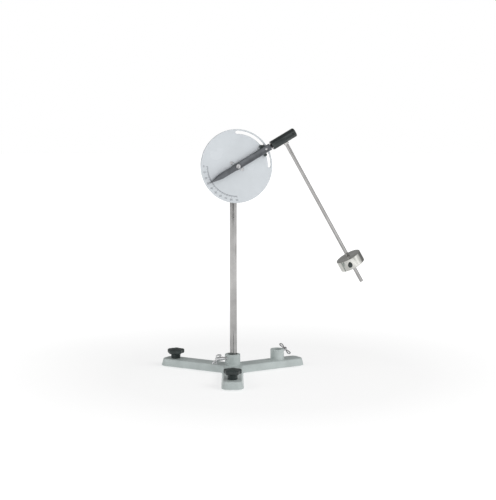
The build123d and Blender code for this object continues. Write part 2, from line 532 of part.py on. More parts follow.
# ---- bearing block ------------------------------------------------------------------------------
with BuildPart() as bearing_housing:
    with BuildSketch(AXLE.offset(HOUSING_START)) as bar:
        Rectangle(HOUSING_HALF * 2, HOUSING_HALF * 2)
        chamfer(bar.vertices(), HOUSING_CHAMFER)
    extrude(amount=HOUSING_END - HOUSING_START)
    ends = bearing_housing.faces().sort_by(AXLE_LINE)
    chamfer(ends[0].edges() + ends[-1].edges(), HOUSING_EDGE)
    with BuildSketch(AXLE.offset(HOUSING_START)):
        Circle(RACE_OUTER)
    extrude(amount=BEARING_STARTS[0] + BEARING_WIDTH - HOUSING_START, mode=Mode.SUBTRACT)
    with BuildSketch(AXLE.offset(BEARING_STARTS[1])):
        Circle(RACE_OUTER)
    extrude(amount=HOUSING_END - BEARING_STARTS[1], mode=Mode.SUBTRACT)
    with BuildSketch(AXLE.offset(HOUSING_START)):
        Circle(HOUSING_BORE)
    extrude(amount=HOUSING_END - HOUSING_START, mode=Mode.SUBTRACT)
    with BuildSketch(HANG):
        Circle(SPIGOT_RADIUS)
    extrude(amount=HOUSING_HALF, mode=Mode.SUBTRACT)
    GRUB = Plane(origin=AXLE.origin + ALONG * GRUB_AT, x_dir=ALONG, z_dir=TOWARDS_VIEWER)
    with BuildSketch(GRUB):
        Circle(GRUB_RADIUS)
    extrude(amount=HOUSING_HALF, mode=Mode.SUBTRACT)
save(bearing_housing, "bearing_housing")

with BuildPart() as grub_screw:
    with BuildSketch(GRUB.offset(RACE_OUTER)):
        Circle(GRUB_RADIUS)
    extrude(amount=GRUB_LENGTH)
    with BuildSketch(GRUB.offset(RACE_OUTER + GRUB_LENGTH)):
        RegularPolygon(GRUB_HEX, 6)
    extrude(amount=-GRUB_HEX_DEPTH, mode=Mode.SUBTRACT)
save(grub_screw, "grub_screw")

# ---- pendulum -----------------------------------------------------------------------------------
with BuildPart() as pendulum_rod:
    with BuildSketch(HANG.offset(SPIGOT_TOP)):
        Circle(SPIGOT_RADIUS)
    extrude(amount=HOUSING_HALF + NUT_HEIGHT - SPIGOT_TOP)
    with BuildSketch(HANG.offset(HOUSING_HALF + NUT_HEIGHT)):
        Circle(PENDULUM_RADIUS)
    extrude(amount=PENDULUM_END - HOUSING_HALF - NUT_HEIGHT)
    chamfer(rims(pendulum_rod, PENDULUM_RADIUS).sort_by(Axis.Z)[0], PENDULUM_EDGE)
save(pendulum_rod, "pendulum_rod")
cylinder("rod_lock_nut", HANG, NUT_RADIUS, HOUSING_HALF, HOUSING_HALF + NUT_HEIGHT, bore=SPIGOT_RADIUS)

BOB_TOP, BOB_BOTTOM = BOB_AT - BOB_HEIGHT / 2, BOB_AT + BOB_HEIGHT / 2
BOB_SCREW = Plane(
    origin=HANG.from_local_coords(Vector(0, 0, BOB_AT)),
    x_dir=DOWN,
    z_dir=TOWARDS_VIEWER.rotate(Axis((0, 0, 0), DOWN), BOB_SCREW_TURN),
)
with BuildPart() as bob_weight:
    with BuildSketch(HANG.offset(BOB_TOP)):
        Circle(BOB_RADIUS)
        Circle(PENDULUM_RADIUS + RUN, mode=Mode.SUBTRACT)
    extrude(amount=BOB_HEIGHT)
    chamfer(rims(bob_weight, BOB_RADIUS), BOB_EDGE)
    with BuildSketch(BOB_SCREW):
        Circle(BOB_SCREW_BORE)
    extrude(amount=BOB_RADIUS, mode=Mode.SUBTRACT)
save(bob_weight, "bob_weight")
cylinder("bob_screw_stud", BOB_SCREW, BOB_SCREW_BORE - RUN, PENDULUM_RADIUS + GAP, BOB_STUD_END,
         edge=BOB_STUD_EDGE)
fluted_knob("bob_screw_knob", BOB_SCREW, BOB_KNOB_RADIUS, BOB_KNOB_START, BOB_KNOB_START + BOB_KNOB_LENGTH,
            BOB_SCREW_BORE, BOB_FLUTES, blind=BOB_KNOB_START + BOB_KNOB_LENGTH - BOB_STUD_END - GAP)
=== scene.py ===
"""Looks of the variable-g pendulum on its tripod stand. Metres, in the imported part's own frame."""

import json
import math

import bmesh
import bpy
from mathutils import Matrix, Vector

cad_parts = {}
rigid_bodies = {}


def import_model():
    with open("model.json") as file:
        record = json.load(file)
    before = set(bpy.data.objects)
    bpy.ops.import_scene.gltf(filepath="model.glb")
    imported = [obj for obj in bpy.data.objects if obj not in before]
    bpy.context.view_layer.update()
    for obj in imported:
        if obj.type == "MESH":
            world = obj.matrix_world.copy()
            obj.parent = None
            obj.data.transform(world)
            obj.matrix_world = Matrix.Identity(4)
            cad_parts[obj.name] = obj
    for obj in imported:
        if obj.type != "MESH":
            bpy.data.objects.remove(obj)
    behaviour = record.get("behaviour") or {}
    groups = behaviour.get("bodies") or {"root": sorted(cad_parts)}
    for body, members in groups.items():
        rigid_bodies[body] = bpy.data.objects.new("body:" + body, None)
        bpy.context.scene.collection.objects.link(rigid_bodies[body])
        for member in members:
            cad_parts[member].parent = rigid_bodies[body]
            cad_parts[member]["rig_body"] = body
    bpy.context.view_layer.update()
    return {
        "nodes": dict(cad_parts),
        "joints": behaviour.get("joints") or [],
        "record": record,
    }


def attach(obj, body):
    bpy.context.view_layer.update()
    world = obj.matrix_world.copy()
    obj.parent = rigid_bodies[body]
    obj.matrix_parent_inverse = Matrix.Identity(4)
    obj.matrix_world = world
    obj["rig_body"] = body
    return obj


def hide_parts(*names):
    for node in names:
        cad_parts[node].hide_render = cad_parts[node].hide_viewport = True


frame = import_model()

JOINTS = {joint["name"]: joint for joint in frame["joints"]}
SLOTS = {part["node"]: part["material_slot"] for part in frame["record"]["subparts"]}
MM = 0.001
UP = Vector((0, 0, 1))
FRONT = Vector((0, -1, 0))  # the way the dial faces

# thread pitches
M8, M6, M4 = 1.25 * MM, 1.0 * MM, 0.7 * MM

# the casting: where its legs are highest, its two bosses, and the cubes it is remeshed in
CASTING = ("base_hub", "left_leg", "front_leg", "right_leg", "rod_socket", "right_leg_toe")
LEG_TOP = 17 * MM
HUB_RADIUS, SOCKET_RADIUS = 15.5 * MM, 14 * MM
FILLET_RISE, FILLET_RUN, FILLET_FLOOR = 7 * MM, 6 * MM, 13 * MM
VOXEL, QUICK_VOXEL = 0.85 * MM, 1.6 * MM

# a star grip: shares of its whole height, of its head's height and of its radius
HEAD_SHARE, RIM_SHARE, DOME_SHARE = 0.515, 0.26, 0.16
LOBE_SHARE, DIMPLE_SHARE, GRIP_WAIST = 0.32, 0.2, 0.8
NECK_FLARE = 1.5 * MM

# a rubber foot: how far its side is waisted, its sole is hollowed and its top is rounded
FOOT_WAIST, FOOT_HOLLOW, FOOT_TOP, FOOT_EDGE = 0.35 * MM, 0.25 * MM, 0.4 * MM, 0.35 * MM

# the bob: room round the rod in its bore, and the chamfers of its bore and its rims
BOB_ROOM, BORE_CHAMFER, RIM_CHAMFER = 0.12 * MM, 0.6 * MM, 0.9 * MM

# the dial: its slot, its holes, and where it is printed
SLOT_RADIUS, SLOT_HALF = 66 * MM, 3 * MM
PIVOT_HOLE, SCREW_HEAD, SCREW_ROOM = 2.6 * MM, 2.9 * MM, 0.05 * MM
SCREW_TURNS = (-30, 150)  # degrees about the dial's centre
ARC_RADIUS, ARC_HALF, NUMBER_RADIUS, NUMBER_SIZE = 58.4 * MM, 0.2 * MM, 66.3 * MM, 5.2 * MM
INK_LOW, INK_HIGH = -0.01 * MM, 0.05 * MM  # from the dial's face
# every how many degrees there is a mark, its length and half its width
MARKS = ((10, 3.6 * MM, 0.28 * MM), (5, 2.7 * MM, 0.22 * MM), (1, 1.8 * MM, 0.15 * MM))


# ---- reading the frame --------------------------------------------------------------------------
def axis_of(joint):
    """A joint's axis as a unit vector."""
    return Vector(JOINTS[joint]["axis"]).normalized()


def place_of(joint):
    """The point that a hinge turns about."""
    return Vector(JOINTS[joint]["pos_m"])


def placed(origin, z_dir, x_dir=UP):
    """A frame with its origin at a point and its z along a direction."""
    z = Vector(z_dir).normalized()
    x = Vector(x_dir) - z * z.dot(Vector(x_dir))
    if x.length < 1e-6:
        x = Vector((1, 0, 0))
    x.normalize()
    made = Matrix((x, z.cross(x), z)).transposed().to_4x4()
    made.translation = origin
    return made


def corners_of(node, at):
    """A CAD node's vertices as seen from a frame."""
    inverse = at.inverted()
    return [inverse @ vertex.co for vertex in frame["nodes"][node].data.vertices]


def measure(node, at):
    """How low and how high a CAD node reaches along a frame's z, and its outer radius about it."""
    points = corners_of(node, at)
    heights = [point.z for point in points]
    return min(heights), max(heights), max(math.hypot(point.x, point.y) for point in points)


PIVOT = place_of("arm_tilt")
ALONG = axis_of("pendulum_swing")
DOWN = axis_of("bob_slide")
AXLE_POINT = place_of("pendulum_swing")
STAND = placed(Vector((place_of("rod_turn").x, place_of("rod_turn").y, 0)), UP, (1, 0, 0))
DIAL = placed(PIVOT, FRONT, (1, 0, 0))
ARM = placed(PIVOT, FRONT, ALONG)
AXLE = placed(AXLE_POINT, ALONG, FRONT)
NUT_LOW, NUT_HIGH, _ = measure("rod_lock_nut", AXLE)
HANG = placed(AXLE_POINT + ALONG * (NUT_LOW + NUT_HIGH) / 2, DOWN, FRONT)
SCREWS = {
    name: placed(place_of(f"{name}_turn"), axis_of(f"{name}_turn"), side)
    for name, side in (
        ("left_level", (1, 0, 0)), ("front_level", (1, 0, 0)), ("hub_clamp", UP), ("socket_clamp", UP),
        ("head_clamp", (-1, 0, 0)), ("arm_lock", UP), ("bob_clamp", DOWN),
    )
}


# ---- materials ----------------------------------------------------------------------------------
def shader_of(name, color, roughness, metallic=0.0, coat=0.0, coat_roughness=0.1):
    """A new material's node tree and its principled shader."""
    made = bpy.data.materials.new(name)
    made.use_nodes = True
    shader = made.node_tree.nodes["Principled BSDF"]
    shader.inputs["Base Color"].default_value = (*color, 1)
    shader.inputs["Roughness"].default_value = roughness
    shader.inputs["Metallic"].default_value = metallic
    shader.inputs["Coat Weight"].default_value = coat
    shader.inputs["Coat Roughness"].default_value = coat_roughness
    return made, made.node_tree, shader


def seen_from(tree, at=None):
    """Object coordinates, turned into a frame's own where one is given."""
    coordinates = tree.nodes.new("ShaderNodeTexCoord")
    if at is None:
        return coordinates.outputs["Object"]
    mapping = tree.nodes.new("ShaderNodeMapping")
    inverse = at.inverted()
    mapping.inputs["Location"].default_value = inverse.translation
    mapping.inputs["Rotation"].default_value = inverse.to_euler()
    tree.links.new(coordinates.outputs["Object"], mapping.inputs["Vector"])
    return mapping.outputs["Vector"]


def stretched(tree, vector, scale):
    """A vector multiplied by one factor for each axis."""
    times = tree.nodes.new("ShaderNodeVectorMath")
    times.operation = "MULTIPLY"
    times.inputs[1].default_value = scale
    tree.links.new(vector, times.inputs[0])
    return times.outputs["Vector"]


def noise(tree, vector, scale, detail=3.0):
    """Fractal noise, as a factor about one half. The scale is in waves per metre."""
    made = tree.nodes.new("ShaderNodeTexNoise")
    made.inputs["Scale"].default_value = scale
    made.inputs["Detail"].default_value = detail
    tree.links.new(vector, made.inputs["Vector"])
    return made.outputs["Fac"]


def length_of(tree, vector):
    """The length of a vector."""
    made = tree.nodes.new("ShaderNodeVectorMath")
    made.operation = "LENGTH"
    tree.links.new(vector, made.inputs[0])
    return made.outputs["Value"]


def split_of(tree, vector):
    """The X, Y and Z of a vector."""
    made = tree.nodes.new("ShaderNodeSeparateXYZ")
    tree.links.new(vector, made.inputs[0])
    return made.outputs


def around(tree, at):
    """Coordinates that change with the distance from a frame's z and along it, and not with the angle."""
    vector = seen_from(tree, at)
    joined = tree.nodes.new("ShaderNodeCombineXYZ")
    tree.links.new(length_of(tree, stretched(tree, vector, (1, 1, 0))), joined.inputs["X"])
    tree.links.new(split_of(tree, vector)["Z"], joined.inputs["Z"])
    return joined.outputs[0]


def mixed(tree, factor, dark, light, low=0.35, high=0.65):
    """A colour that goes from dark to light with a factor."""
    ramp = tree.nodes.new("ShaderNodeValToRGB")
    ramp.color_ramp.elements[0].position = low
    ramp.color_ramp.elements[0].color = (*dark, 1)
    ramp.color_ramp.elements[1].position = high
    ramp.color_ramp.elements[1].color = (*light, 1)
    tree.links.new(factor, ramp.inputs["Fac"])
    return ramp.outputs["Color"]


def ranged(tree, factor, low, high, start=0.3, end=0.7):
    """A factor's range from start to end, which suits noise as it is, spread between two values."""
    made = tree.nodes.new("ShaderNodeMapRange")
    made.inputs["From Min"].default_value = start
    made.inputs["From Max"].default_value = end
    made.inputs["To Min"].default_value = low
    made.inputs["To Max"].default_value = high
    tree.links.new(factor, made.inputs["Value"])
    return made.outputs["Result"]


def bumped(tree, shader, *layers):
    """Relief on a shader: each layer is (height factor, height in metres)."""
    normal = None
    for height, distance in layers:
        bump = tree.nodes.new("ShaderNodeBump")
        bump.inputs["Distance"].default_value = distance
        tree.links.new(height, bump.inputs["Height"])
        if normal:
            tree.links.new(normal, bump.inputs["Normal"])
        normal = bump.outputs["Normal"]
    tree.links.new(normal, shader.inputs["Normal"])


def shade(color, by):
    """A colour made darker or lighter."""
    return tuple(min(1.0, channel * by) for channel in color)


def cast_paint():
    """Grey-green paint on a sand casting: orange peel over a slow waviness, with random blotches of darker
    and lighter tone.
    """
    color = (0.50, 0.555, 0.545)
    made, tree, shader = shader_of("cast_paint", color, 0.42, coat=0.25, coat_roughness=0.3)
    vector = seen_from(tree)
    peel, waves, blotches = noise(tree, vector, 650), noise(tree, vector, 90, 2), noise(tree, vector, 28, 4)
    tree.links.new(mixed(tree, blotches, shade(color, 0.90), shade(color, 1.07)), shader.inputs["Base Color"])
    tree.links.new(ranged(tree, peel, 0.36, 0.52), shader.inputs["Roughness"])
    bumped(tree, shader, (waves, 0.0006), (peel, 0.00022))
    return made


def moulded_plastic(name, color, roughness):
    """Moulded plastic with a fine spark-eroded grain and faint wear."""
    made, tree, shader = shader_of(name, color, roughness)
    vector = seen_from(tree)
    fine, wear = noise(tree, vector, 2600), noise(tree, vector, 120, 5)
    tree.links.new(mixed(tree, wear, shade(color, 0.8), shade(color, 1.45)), shader.inputs["Base Color"])
    tree.links.new(ranged(tree, wear, roughness - 0.06, roughness + 0.1), shader.inputs["Roughness"])
    bumped(tree, shader, (fine, 0.00006))
    return made


def drawn_steel(name, color, at, roughness=0.2):
    """Bright drawn bar: fine lines along the frame's z, and faint cloudy handling marks."""
    made, tree, shader = shader_of(name, color, roughness, metallic=1.0)
    vector = seen_from(tree, at)
    lines = noise(tree, stretched(tree, vector, (1, 1, 0.012)), 3500, 2)
    clouds = noise(tree, vector, 45, 4)
    tree.links.new(mixed(tree, clouds, shade(color, 0.88), shade(color, 1.08)), shader.inputs["Base Color"])
    tree.links.new(ranged(tree, clouds, roughness - 0.05, roughness + 0.08), shader.inputs["Roughness"])
    bumped(tree, shader, (lines, 0.00002))
    return made


def turned_steel(name, color, at, roughness=0.25, groove=0.00002):
    """Lathe-turned metal: rings about the frame's z on its side and on its ends."""
    made, tree, shader = shader_of(name, color, roughness, metallic=1.0)
    rings = noise(tree, around(tree, at), 2200, 3)
    clouds = noise(tree, seen_from(tree), 70, 4)
    tree.links.new(mixed(tree, clouds, shade(color, 0.86), shade(color, 1.1)), shader.inputs["Base Color"])
    tree.links.new(ranged(tree, rings, roughness - 0.07, roughness + 0.07), shader.inputs["Roughness"])
    bumped(tree, shader, (rings, groove))
    return made


def plated_steel(name, color, roughness):
    """Zinc or oxide plate on small fasteners: cloudy, with a fine crystalline grain."""
    made, tree, shader = shader_of(name, color, roughness, metallic=1.0)
    vector = seen_from(tree)
    clouds, grain = noise(tree, vector, 180, 5), noise(tree, vector, 3800, 2)
    tree.links.new(mixed(tree, clouds, shade(color, 0.7), shade(color, 1.2)), shader.inputs["Base Color"])
    tree.links.new(ranged(tree, clouds, roughness - 0.08, roughness + 0.14), shader.inputs["Roughness"])
    bumped(tree, shader, (grain, 0.00003))
    return made


def anodised(name, color, at, roughness=0.34):
    """Anodised aluminium bar: fine extrusion lines along the frame's x, paler where it is worn."""
    made, tree, shader = shader_of(name, color, roughness, metallic=0.75, coat=0.15, coat_roughness=0.35)
    vector = seen_from(tree, at)
    lines = noise(tree, stretched(tree, vector, (0.02, 1, 1)), 2600, 3)
    wear = noise(tree, vector, 60, 5)
    tree.links.new(mixed(tree, wear, shade(color, 0.85), shade(color, 1.25)), shader.inputs["Base Color"])
    tree.links.new(ranged(tree, lines, roughness - 0.08, roughness + 0.1), shader.inputs["Roughness"])
    bumped(tree, shader, (lines, 0.00003))
    return made


def dial_plastic():
    """Glossy pale grey sheet plastic with a little haze and hairline scratches."""
    color = (0.60, 0.635, 0.665)
    made, tree, shader = shader_of("dial_plastic", color, 0.22, coat=0.6, coat_roughness=0.12)
    vector = seen_from(tree)
    haze = noise(tree, vector, 14, 4)
    slanted = seen_from(tree, placed(PIVOT, FRONT, (1, 0, 0.6)))
    scratches = noise(tree, stretched(tree, slanted, (0.03, 1, 1)), 1500, 2)
    tree.links.new(mixed(tree, haze, shade(color, 0.95), shade(color, 1.07)), shader.inputs["Base Color"])
    tree.links.new(ranged(tree, haze, 0.17, 0.30), shader.inputs["Roughness"])
    bumped(tree, shader, (scratches, 0.000012))
    return made


def ink():
    """Grey screen-printed ink, a little uneven."""
    color = (0.075, 0.078, 0.10)
    made, tree, shader = shader_of("scale_ink", color, 0.55)
    patches = noise(tree, seen_from(tree), 1800, 2)
    tree.links.new(mixed(tree, patches, shade(color, 0.8), shade(color, 1.5)), shader.inputs["Base Color"])
    tree.links.new(ranged(tree, patches, 0.5, 0.65), shader.inputs["Roughness"])
    return made


def rubber():
    """Matt black rubber with a moulded grain and dust in it."""
    color = (0.035, 0.035, 0.036)
    made, tree, shader = shader_of("foot_rubber", color, 0.85)
    vector = seen_from(tree)
    grain, dust = noise(tree, vector, 1500, 4), noise(tree, vector, 200, 4)
    dusty = mixed(tree, dust, shade(color, 0.8), shade(color, 2.2), 0.45, 0.75)
    tree.links.new(dusty, shader.inputs["Base Color"])
    tree.links.new(ranged(tree, dust, 0.75, 0.95), shader.inputs["Roughness"])
    bumped(tree, shader, (grain, 0.00012))
    return made


STEEL = (0.60, 0.595, 0.58)
LOOKS = {
    "base_paint": cast_paint(),
    "rubber": rubber(),
    "knob_plastic": moulded_plastic("knob_plastic", (0.022, 0.031, 0.030), 0.38),
    "zinc_steel": plated_steel("zinc_plate", (0.62, 0.62, 0.63), 0.27),
    "stainless_steel": turned_steel("stainless_steel", STEEL, AXLE),
    "dial_plastic": dial_plastic(),
    "black_steel": plated_steel("black_oxide", (0.055, 0.055, 0.058), 0.35),
    "clamp_alloy": anodised("clamp_anodised", (0.05, 0.052, 0.056), DIAL, 0.42),
    "arm_anodised": anodised("arm_anodised", (0.115, 0.122, 0.132), ARM),
    "block_anodised": anodised("block_anodised", (0.050, 0.058, 0.058), ARM, 0.27),
    "bronze": turned_steel("bronze", (0.62, 0.42, 0.22), AXLE, 0.3),
    "bearing_steel": turned_steel("ground_steel", (0.66, 0.66, 0.67), AXLE, 0.16, 0.00001),
}
DRAWN_ROD = drawn_steel("stand_rod_steel", (0.40, 0.395, 0.39), STAND, 0.11)
DRAWN_PENDULUM = drawn_steel("pendulum_rod_steel", (0.42, 0.415, 0.41), HANG, 0.15)
BOB_STEEL = turned_steel("bob_steel", (0.60, 0.60, 0.57), HANG, 0.14, 0.000012)
INK = ink()

for node, cad in frame["nodes"].items():
    cad.data.materials.clear()
    cad.data.materials.append(LOOKS[SLOTS[node]])


# ---- mesh tools ---------------------------------------------------------------------------------
def mesh_of(name, bm):
    """A mesh made from a bmesh, which is freed."""
    mesh = bpy.data.meshes.new(name)
    bm.to_mesh(mesh)
    bm.free()
    return mesh


def added(name, data):
    """A new object in the scene."""
    made = bpy.data.objects.new(name, data)
    bpy.context.scene.collection.objects.link(made)
    return made


def piece(name, bm, at, node, look=None, replaces=True, crease=38):
    """Turns a bmesh into a piece: it rides with a CAD node, takes its slot, and stands for it."""
    bmesh.ops.recalc_face_normals(bm, faces=bm.faces)
    mesh = mesh_of(name, bm)
    mesh.transform(at)
    mesh.shade_smooth()
    mesh.set_sharp_from_angle(angle=math.radians(crease))
    mesh.materials.append(look or LOOKS[SLOTS[node]])
    made = added(name, mesh)
    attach(made, frame["nodes"][node]["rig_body"])
    if replaces:
        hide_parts(node)
    return made


def turned(rings, segments=96, loop=False):
    """Stacked rings about z, each (radius, height). A radius may be a function of the angle."""
    bm = bmesh.new()
    made = []
    for radius, height in rings:
        if radius == 0:
            made.append([bm.verts.new((0, 0, height))] * segments)
            continue
        ring = []
        for step in range(segments):
            angle = math.tau * step / segments
            reach = radius(angle) if callable(radius) else radius
            ring.append(bm.verts.new((reach * math.cos(angle), reach * math.sin(angle), height)))
        made.append(ring)
    pairs = list(zip(made, made[1:])) + ([(made[-1], made[0])] if loop else [])
    for low, high in pairs:
        for step in range(segments):
            after = (step + 1) % segments
            corners = list(dict.fromkeys((low[step], low[after], high[after], high[step])))
            if len(corners) > 2:
                bm.faces.new(corners)
    return bm


def eased(points, edge, steps=3):
    """A profile with its inner corners rounded."""
    out = [points[0]]
    for before, corner, after in zip(points, points[1:], points[2:]):
        before, corner, after = Vector(before), Vector(corner), Vector(after)
        start = corner + (before - corner).normalized() * min(edge, (before - corner).length / 2.01)
        end = corner + (after - corner).normalized() * min(edge, (after - corner).length / 2.01)
        for step in range(steps + 1):
            t = step / steps
            out.append(tuple(start.lerp(corner, t).lerp(corner.lerp(end, t), t)))
    out.append(points[-1])
    return out


def screw_thread(radius, pitch, low, high, plain_from=None, steps=6):
    """Rings of a right-hand V thread from low to high, with a plain shank above plain_from."""
    depth = pitch * 0.54
    count = max(2, round((high - low) / pitch * steps))
    rings = [(0, low), (radius - depth, low)]
    for index in range(count + 1):
        height = low + (high - low) * index / count
        if plain_from is not None and height > plain_from:
            break

        def reach(angle, height=height):
            phase = (height / pitch - angle / math.tau) % 1
            run_out = min(1.0, (height - low) / pitch + 0.15)
            return radius - depth * abs(2 * phase - 1) - (1 - run_out) * depth * 0.6

        rings.append((reach, height))
    if plain_from is not None:
        rings += [(radius, plain_from + pitch / 2)] + eased(
            [(radius, plain_from + pitch), (radius, high), (0, high)], pitch / 2
        )
    else:
        rings += [(radius - depth, high), (0, high)]
    return rings


def threaded(name, node, screw, pitch, segments, share=None):
    """A threaded shank, measured from its CAD node. It is plain above a share of its length."""
    at = SCREWS[screw]
    low, high, radius = measure(node, at)
    plain_from = low + (high - low) * share if share else None
    piece(name, turned(screw_thread(radius, pitch, low, high, plain_from), segments), at, node)


def star(radius, lobes=5, blend=22):
    """The outline of a star grip as a function of the angle: round lobes blended into a round waist."""
    lobe = radius * LOBE_SHARE
    reach = radius - lobe

    def outline(angle):
        turn = (angle + math.pi / lobes) % (math.tau / lobes) - math.pi / lobes
        side = reach * math.sin(turn)
        lobed = reach * math.cos(turn) + math.sqrt(max(lobe**2 - side**2, 0))
        blended = ((lobed / radius) ** blend + GRIP_WAIST**blend) ** (1 / blend)
        return radius * min(blended, 1)

    return outline


def star_knob(name, node, screw):
    """A moulded star grip: neck with a flare, undercut lobes, a soft rim and a low dome with a sink mark."""
    at = SCREWS[screw]
    low, high, radius = measure(node, at)
    neck = max(math.hypot(p.x, p.y) for p in corners_of(node, at) if p.z < low + 0.1 * MM)
    head = (high - low) * HEAD_SHARE
    start = high - head
    rim, dome, dimple = head * RIM_SHARE, head * DOME_SHARE, radius * DIMPLE_SHARE
    under, flared, shoulder = rim * 0.9, neck + NECK_FLARE, rim * 1.1
    outline = star(radius)

    def inset(amount):
        return lambda angle: outline(angle) - amount

    def between(centre, edge, share):
        return lambda angle: centre * (1 - share) + (outline(angle) - edge) * share

    rings = [(0, low + 0.3 * MM)] + eased([(neck * 0.55, low), (neck * 0.98, low), (neck, start)], 0.5 * MM)
    rings[-1] = (neck, start - 1.6 * MM)
    rings += [(neck + flare * MM, start - NECK_FLARE + flare * MM) for flare in (0.25, 0.8)]
    rings += [(flared, start + 0.02 * MM)]
    rings += [(between(flared, under, share), start + 0.02 * MM) for share in (0.35, 0.7, 1.0)]
    for step in range(5):
        turn = math.pi / 2 * step / 4
        rings.append((inset(under * (1 - math.sin(turn))), start + under * (1 - math.cos(turn))))
    for step in range(7):
        turn = math.pi / 2 * step / 6
        rings.append((inset(shoulder * (1 - math.cos(turn))), high - dome - rim * (1 - math.sin(turn))))
    for share in (0.85, 0.65, 0.45, 0.25, 0.1):
        rings.append((between(dimple, shoulder, share), high - dome * (share * 1.1) ** 2))
    rings += [(dimple, high - 0.02 * dome), (dimple * 0.93, high - 0.25 * MM)]
    rings += [(dimple * 0.8, high - 0.4 * MM), (0, high - 0.42 * MM)]
    piece(name, turned(rings, 160), at, node)


def softened(name, node, width):
    """A CAD node's own shape, with its sharp edges rounded."""
    bm = bmesh.new()
    bm.from_mesh(frame["nodes"][node].data)
    bmesh.ops.remove_doubles(bm, verts=bm.verts, dist=0.002 * MM)
    bmesh.ops.dissolve_limit(bm, angle_limit=math.radians(0.5), verts=bm.verts, edges=bm.edges)
    sharp = [e for e in bm.edges if len(e.link_faces) == 2 and e.calc_face_angle(0) > math.radians(32)]
    bmesh.ops.bevel(bm, geom=sharp, offset=width, segments=2, profile=0.6, affect="EDGES", clamp_overlap=True)
    piece(name, bm, Matrix(), node)


def plate(loops, low, high):
    """A flat plate between two heights, cut by any number of closed outlines."""
    bm = bmesh.new()
    edges = []
    for loop in loops:
        verts = [bm.verts.new((x, y, low)) for x, y in loop]
        edges += [bm.edges.new((verts[i - 1], verts[i])) for i in range(len(verts))]
    bmesh.ops.triangle_fill(bm, use_beauty=True, use_dissolve=False, edges=edges)
    raised = bmesh.ops.extrude_face_region(bm, geom=bm.faces[:])["geom"]
    top = [v for v in raised if isinstance(v, bmesh.types.BMVert)]
    bmesh.ops.translate(bm, vec=(0, 0, high - low), verts=top)
    return bm


def circle(radius, segments, centre=(0, 0)):
    """Points of a circle."""
    turns = [math.tau * index / segments for index in range(segments)]
    return [(centre[0] + radius * math.cos(turn), centre[1] + radius * math.sin(turn)) for turn in turns]


def rounded_edges(made, width):
    """Rounds the sharp edges of a finished piece."""
    bevel = made.modifiers.new("edges", "BEVEL")
    bevel.width = width
    bevel.segments = 3
    bevel.limit_method = "ANGLE"
    bevel.angle_limit = math.radians(50)
    bevel.harden_normals = True


# ---- the base casting ---------------------------------------------------------------------------
def applied(made):
    """A mesh of a piece with its modifiers applied."""
    bpy.context.view_layer.update()
    mesh = bpy.data.meshes.new_from_object(made.evaluated_get(bpy.context.evaluated_depsgraph_get()))
    made.modifiers.clear()
    made.data = mesh
    return mesh


def smoothed(made, name, passes, group=""):
    """Adds smoothing, over the whole piece or over one group of its vertices."""
    smooth = made.modifiers.new(name, "SMOOTH")
    smooth.factor, smooth.iterations, smooth.vertex_group = 0.5, passes, group


def base_casting():
    """The tripod casting with sand-cast softness: rounded edges and fillets where bosses meet the legs."""
    bm = bmesh.new()
    for node in CASTING:
        bm.from_mesh(frame["nodes"][node].data)
    made = added("tripod_casting", mesh_of("tripod_casting", bm))
    weld = made.modifiers.new("weld", "WELD")
    weld.merge_threshold = 0.01 * MM
    remesh = made.modifiers.new("remesh", "REMESH")
    remesh.mode = "VOXEL"
    remesh.voxel_size = VOXEL
    mesh = applied(made)
    bosses = ((place_of("hub_clamp_turn"), HUB_RADIUS), (place_of("socket_clamp_turn"), SOCKET_RADIUS))
    fillets = made.vertex_groups.new(name="fillets")
    for vertex in mesh.vertices:
        level = max(0.0, 1 - abs(vertex.co.z - LEG_TOP) / FILLET_RISE)
        for boss, radius in bosses:
            out = math.hypot(vertex.co.x - boss.x, vertex.co.y - boss.y) - radius
            near = level * max(0.0, 1 - abs(out) / FILLET_RUN)
            if near > 0.05 and vertex.co.z > FILLET_FLOOR:
                fillets.add([vertex.index], min(1.0, near * 1.6), "REPLACE")
    smoothed(made, "soften", 3)
    smoothed(made, "fillet", 26, "fillets")
    mesh = applied(made)
    mesh.materials.clear()
    mesh.materials.append(LOOKS["base_paint"])
    mesh.shade_smooth()
    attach(made, "base")
    for node in CASTING:
        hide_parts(node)


def levelling_screw(side):
    """The threaded stud, rubber pad and star grip of one levelling foot."""
    threaded(f"{side}_foot_screw", f"{side}_levelling_stud", f"{side}_level", M8, 48)
    foot_pad(f"{side}_rubber_pad", f"{side}_foot_pad", SCREWS[f"{side}_level"])
    star_knob(f"{side}_star_grip", f"{side}_levelling_knob", f"{side}_level")


def foot_pad(name, node, at):
    """A moulded rubber foot: a waisted side, and a sole that is hollow in its middle."""
    low, high, radius = measure(node, at)
    hollow = low + FOOT_HOLLOW
    side = [(0, hollow), (radius * 0.45, hollow), (radius * 0.5, low), (radius, low),
            (radius - FOOT_WAIST, (low + high) / 2), (radius, high - FOOT_TOP),
            (radius * 0.9, high), (0, high)]
    piece(name, turned(eased(side, FOOT_EDGE), 72), at, node)


base_casting()
foot_pad("fixed_rubber_foot", "fixed_foot", placed(Vector(frame["record"]["mounts"][1]["pos_m"]), UP))
for side in ("left", "front"):
    levelling_screw(side)
for name in ("hub", "socket"):
    threaded(f"{name}_clamp_shank", f"{name}_screw_shank", f"{name}_clamp", M6, 40, share=0.45)


# ---- rods ---------------------------------------------------------------------------------------
def round_bar(name, node, at, look, edge, segments=96):
    """A plain bar with eased ends, measured from its CAD node."""
    low, high, radius = measure(node, at)
    rings = eased([(0, low), (radius, low), (radius, high), (0, high)], edge)
    piece(name, turned(rings, segments), at, node, look)


round_bar("stand_bar", "stand_rod", STAND, DRAWN_ROD, 1.1 * MM)


